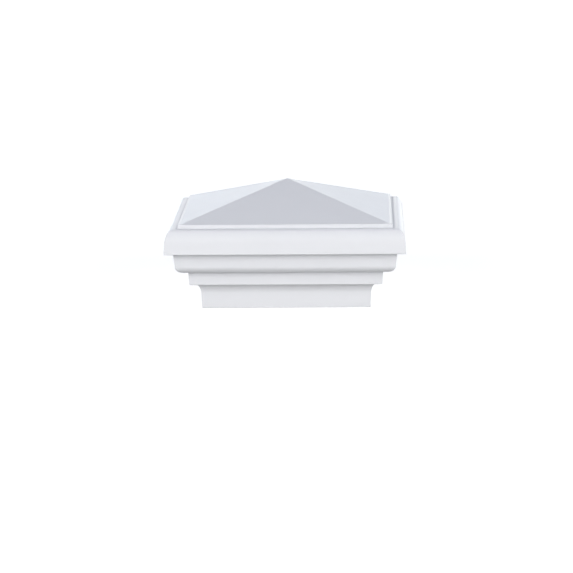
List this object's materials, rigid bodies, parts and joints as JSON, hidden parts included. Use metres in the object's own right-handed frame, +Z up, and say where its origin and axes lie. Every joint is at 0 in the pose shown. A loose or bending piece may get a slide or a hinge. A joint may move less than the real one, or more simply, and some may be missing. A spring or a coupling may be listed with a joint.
{
  "type": "post cap",
  "caption": "Square moulded cap with a low pyramid roof, which slips over the top of a square post by a socket underneath and sheds rain.",
  "frame": {"origin": "centre of the rim, which is the lowest face of the cap and stands on a surface when the cap is off its post", "axes": "+Z up, along the post, towards the apex of the roof; X and Y are square to the sides"},
  "size_m": [0.1396, 0.1396, 0.0695],
  "materials": {
    "satin_white": "satin white moulded polymer, smooth, with crisp softened arrises; duller and finely grained inside the socket"
  },
  "bodies": {
    "root": {"post_cap": "satin_white"}
  },
  "joints": []
}
